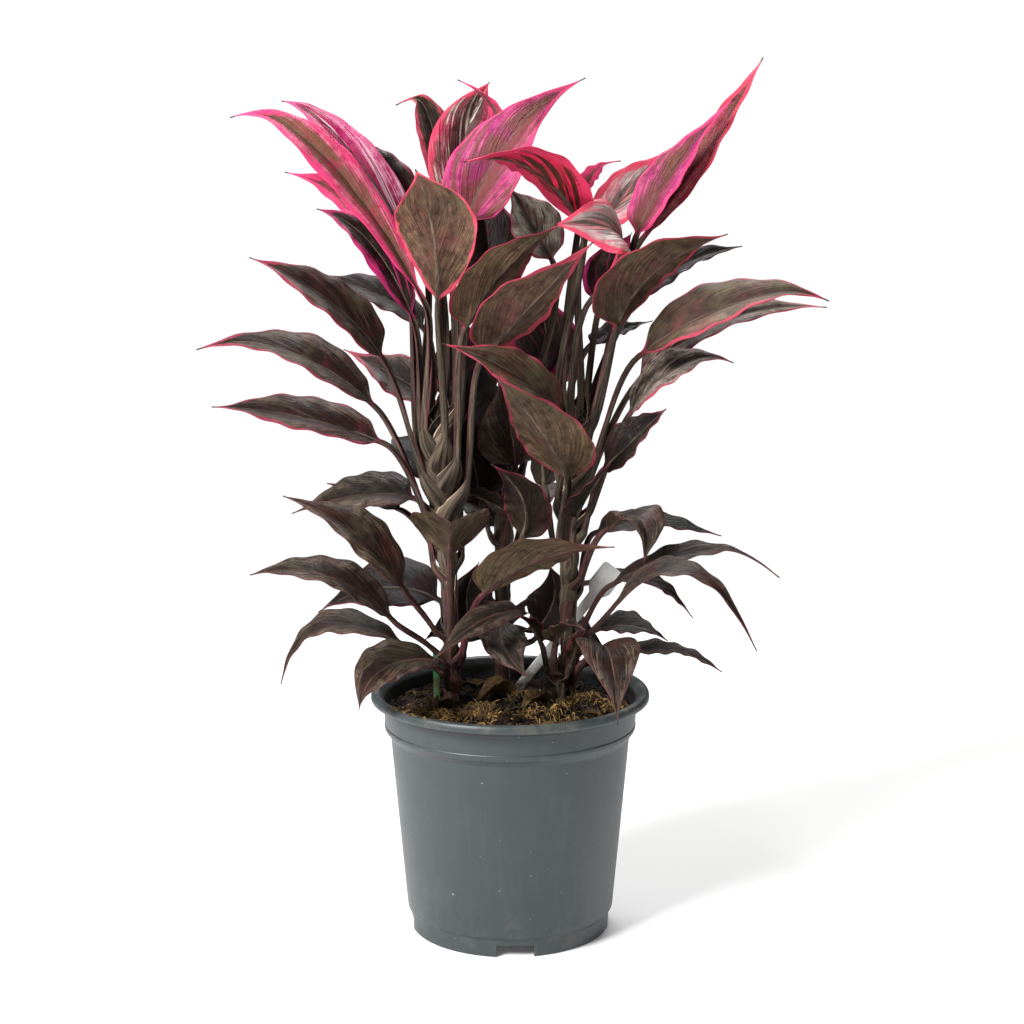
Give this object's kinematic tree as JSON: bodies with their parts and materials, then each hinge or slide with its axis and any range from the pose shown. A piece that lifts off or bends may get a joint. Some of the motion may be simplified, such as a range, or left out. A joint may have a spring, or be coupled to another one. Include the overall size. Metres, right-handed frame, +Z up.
{
  "type": "potted ti plant",
  "caption": "Potted ti plant: upright sheathed canes with bronze and pink folded leaves on long channelled petioles, in a round grey nursery pot.",
  "frame": {"origin": "bottom centre of the whole plant's bounding box, level with the underside of the pot's foot", "axes": "+Z up, the pot's axis is parallel to it; the side seen in the picture faces -Y"},
  "size_m": [0.4644, 0.2894, 0.6505],
  "materials": {
    "pot": "satin",
    "peat": "matte",
    "cane": "matte",
    "leaf_bronze": "satin",
    "leaf_brown": "satin",
    "leaf_dark": "satin",
    "leaf_pink": "satin",
    "leaf_magenta": "satin",
    "leaf_striped": "satin",
    "tag": "satin",
    "marker": "satin"
  },
  "bodies": {
    "root": {"pot": "pot", "soil": "peat", "cane_left": "cane", "cane_right": "cane", "cane_back": "cane", "basal_shoots": "cane", "leaf_crown_left_1": "leaf_pink", "leaf_crown_left_2": "leaf_magenta", "leaf_crown_left_3": "leaf_pink", "leaf_crown_left_5": "leaf_brown", "leaf_crown_left_6": "leaf_dark", "leaf_crown_left_7": "leaf_brown", "leaf_crown_centre_1": "leaf_striped", "leaf_crown_centre_3": "leaf_magenta", "leaf_crown_centre_4": "leaf_pink", "leaf_crown_centre_5": "leaf_striped", "leaf_crown_centre_6": "leaf_striped", "leaf_crown_centre_7": "leaf_dark", "leaf_front_centre_1": "leaf_brown", "leaf_front_centre_2": "leaf_brown", "leaf_crown_right_1": "leaf_magenta", "leaf_crown_right_2": "leaf_pink", "leaf_crown_right_3": "leaf_striped", "leaf_crown_right_4": "leaf_brown", "leaf_right_1": "leaf_bronze", "leaf_right_2": "leaf_striped", "leaf_right_3": "leaf_bronze", "leaf_right_4": "leaf_dark", "leaf_right_5": "leaf_dark", "leaf_left_1": "leaf_bronze", "leaf_left_2": "leaf_dark", "leaf_left_3": "leaf_bronze", "leaf_left_4": "leaf_bronze", "leaf_left_5": "leaf_brown", "leaf_left_6": "leaf_dark", "leaf_front_1": "leaf_bronze", "leaf_front_2": "leaf_bronze", "leaf_front_3": "leaf_bronze", "leaf_front_4": "leaf_brown", "leaf_centre_1": "leaf_bronze", "leaf_centre_2": "leaf_bronze", "leaf_centre_5": "leaf_dark", "leaf_back_1": "leaf_bronze", "leaf_back_2": "leaf_bronze", "leaf_low_left_2": "leaf_bronze", "leaf_low_left_3": "leaf_bronze", "leaf_low_left_4": "leaf_bronze", "leaf_low_left_5": "leaf_dark", "leaf_low_left_6": "leaf_bronze", "leaf_low_left_7": "leaf_bronze", "leaf_low_left_8": "leaf_bronze", "leaf_low_right_2": "leaf_bronze", "leaf_low_right_3": "leaf_dark", "leaf_low_right_4": "leaf_bronze", "leaf_low_right_5": "leaf_bronze", "leaf_low_right_7": "leaf_dark", "leaf_low_right_8": "leaf_bronze", "leaf_low_right_9": "leaf_bronze", "plant_tag": "tag", "green_marker": "marker"}
  },
  "joints": []
}
